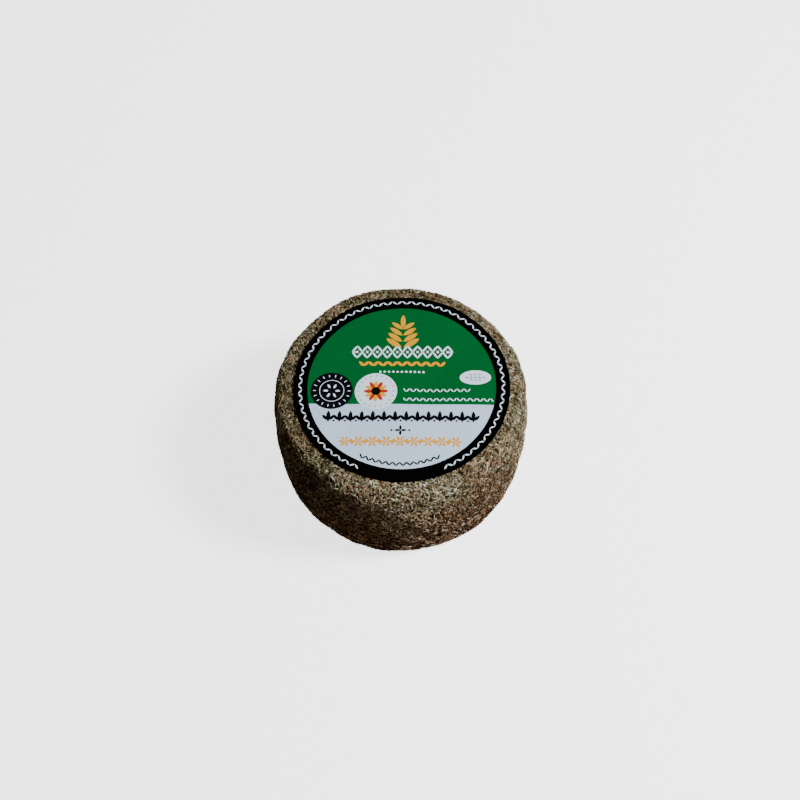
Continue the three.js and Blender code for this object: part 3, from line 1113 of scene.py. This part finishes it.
def black_ornament(leaf, broad_leaf, petal, dot):
    """Shoots, dots and a small flower on the bare field, leaves along its foot, and rows on the oval."""
    oval_rows = ((0.64, 0.72, 0.118, 3), (0.6, 0.76, 0.09, 5), (0.64, 0.72, 0.062, 3))
    return [
        stamp(broad_leaf, row(-0.66, 0.66, -0.33, 14, UPRIGHT, size=1.05)),
        stamp(petal, row(-0.693, 0.627, -0.343, 14, UPRIGHT + 0.7, size=1.15)),
        stamp(petal, row(-0.627, 0.693, -0.343, 14, UPRIGHT - 0.7, size=1.15)),
        stamp(dot, row(-0.609, 0.609, -0.375, 13, size=1.2)),
        stamp(petal, circle((0, -0.475 * LABEL_RADIUS), 1.3 * MM, 4, size=0.85)),
        stamp(dot, row(-0.08, 0.08, -0.475, 2, size=1.2)),
        stamp(leaf, alternate(arc(0.82, -115, -65, 24, size=1.05), 0.85)),
        *(stamp(leaf, row(*oval_row, size=0.6)) for oval_row in oval_rows),
    ]


def rosette_petals(petal, turn, size):
    """Six petals round the rosette's middle."""
    return [stamp(petal, circle(ROSETTE_MIDDLE, 3.4 * MM, 6, turn=turn, size=size))]


def make_print():
    """Plain ornament in the label's colours: leaves, dots, lozenges, rosettes and roundels."""
    white_ink = print_material("white_ink_on_coated_paper", "#e3f4ff", "#daebfc", 0.15)
    ochre_ink = print_material("ochre_ink_on_coated_paper", "#e6a31e", "#da9818", 0.1)
    black_ink = print_material("black_ink_on_coated_paper", "#0a0c10", "#06080b", 0.04)
    red_ink = print_material("red_ink_on_coated_paper", "#b8301a", "#ad2b17", 0.1)
    yellow_ink = print_material("yellow_ink_on_coated_paper", "#e9a922", "#dd9f1e", 0.1)
    leaf = flat_shape(10, 2.2 * MM, 0.7 * MM, tip=1.15)
    slim_leaf = flat_shape(12, 3.9 * MM, 0.95 * MM, tip=1.1)
    broad_leaf = flat_shape(12, 4.6 * MM, 1.7 * MM, tip=1.15)
    petal = flat_shape(12, 2.6 * MM, 1.2 * MM, tip=1.05)
    dot = flat_shape(12, 0.8 * MM, 0.8 * MM)
    disc = disc_shape(BADGE_RADIUS)
    black_roundel = [stamp(disc, [(*BADGE_MIDDLE, 0, 1)])]
    rosette_middle = [
        stamp(dot, [(*ROSETTE_MIDDLE, 0, 5.2)]),
        stamp(dot, circle(ROSETTE_MIDDLE, 0.165 * LABEL_RADIUS, 20, size=0.7)),
    ]
    print_layer("black_roundel", black_roundel, black_ink)
    print_layer("white_roundels", white_roundels(disc), white_ink)
    print_layer("white_ornament", white_ornament(leaf, slim_leaf, petal, dot), white_ink, level=2)
    print_layer("ochre_ornament", ochre_ornament(broad_leaf, petal, dot), ochre_ink)
    print_layer("black_ornament", black_ornament(leaf, broad_leaf, petal, dot), black_ink, level=2)
    print_layer("red_ornament", rosette_petals(petal, turn=0, size=1.5), red_ink, level=2)
    print_layer("yellow_ornament", rosette_petals(petal, turn=math.pi / 6, size=1.4), yellow_ink, level=2)
    print_layer("rosette_middle", rosette_middle, black_ink, level=3)


# Stage

CAMERA_DISTANCE = 10 * WHEEL_RADIUS
CAMERA_ELEVATION = math.radians(59.74)
CAMERA_AZIMUTH = math.radians(3.6)
CAMERA_ROLL = math.radians(-2.69)
CAMERA_PITCH = math.radians(0.9)
CAMERA_FOCUS_PIXELS = 1243
FRAME_PIXELS = 800
SENSOR_WIDTH = 36
FLOOR_SIZE = 6
FLOOR_GLOW = 2.4
WORLD_LIGHT = 0.025


def make_camera():
    """The photo's view: from the front and well above, with a slight roll."""
    back = Vector((
        math.sin(CAMERA_AZIMUTH) * math.cos(CAMERA_ELEVATION),
        -math.cos(CAMERA_AZIMUTH) * math.cos(CAMERA_ELEVATION),
        math.sin(CAMERA_ELEVATION),
    ))
    right = Vector((math.cos(CAMERA_AZIMUTH), math.sin(CAMERA_AZIMUTH), 0))
    up = back.cross(right)
    forward = (-back + math.tan(CAMERA_PITCH) * up).normalized()
    up = right.cross(forward)
    rolled_right = math.cos(CAMERA_ROLL) * right + math.sin(CAMERA_ROLL) * up
    rolled_up = -math.sin(CAMERA_ROLL) * right + math.cos(CAMERA_ROLL) * up
    camera_data = bpy.data.cameras.new("photo_camera")
    camera_data.sensor_width = SENSOR_WIDTH
    camera_data.lens = SENSOR_WIDTH * CAMERA_FOCUS_PIXELS / FRAME_PIXELS
    camera_data.clip_start = 0.01
    camera = bpy.data.objects.new("photo_camera", camera_data)
    bpy.context.scene.collection.objects.link(camera)
    place = Matrix((rolled_right, rolled_up, -forward)).transposed().to_4x4()
    place.translation = Vector((0, 0, WHEEL_HEIGHT / 2)) + back * CAMERA_DISTANCE
    camera.matrix_world = place
    bpy.context.scene.camera = camera


def add_light(name, direction, distance, size, power, colour):
    """A square studio light that looks at the wheel."""
    light_data = bpy.data.lights.new(name, "AREA")
    light_data.shape = "SQUARE"
    light_data.size = size
    light_data.energy = power
    light_data.color = linear(colour)[:3]
    light = bpy.data.objects.new(name, light_data)
    bpy.context.scene.collection.objects.link(light)
    towards = Vector(direction).normalized()
    light.location = towards * distance
    light.rotation_euler = towards.to_track_quat("Z", "Y").to_euler()


def make_floor():
    """A pale glowing floor, whose light doesn't reach the wheel."""
    start_modelling()
    bpy.ops.mesh.primitive_plane_add(size=FLOOR_SIZE, location=(0, 0, 0))
    floor = bpy.context.object
    floor.name = "floor"
    material, _, shader = new_material("pale_matt_floor")
    shader.inputs["Base Color"].default_value = linear("#f8f8f7")
    shader.inputs["Roughness"].default_value = 0.9
    shader.inputs["Emission Color"].default_value = linear("#ffffff")
    shader.inputs["Emission Strength"].default_value = FLOOR_GLOW
    floor.data.materials.append(material)
    floor.visible_diffuse = False
    floor.visible_glossy = False


def make_stage():
    """The floor, three lights and a dim world."""
    make_floor()
    add_light("key", (1.05, -0.08, 1.05), distance=1.3, size=0.3, power=31, colour="#fafcff")
    add_light("fill", (0.1, -1.0, 1.5), distance=1.4, size=0.15, power=3.5, colour="#ffe4c8")
    add_light("back", (-0.35, 1.0, 0.02), distance=1.4, size=0.4, power=10, colour="#fff4e6")
    world = bpy.data.worlds.new("studio")
    world.use_nodes = True
    background = world.node_tree.nodes["Background"]
    background.inputs["Color"].default_value = linear("#fff0e0")
    background.inputs["Strength"].default_value = WORLD_LIGHT
    bpy.context.scene.world = world


make_camera()
make_bed()
lay_fine_herbs()
lay_large_herbs()
make_label()
make_print()
make_stage()
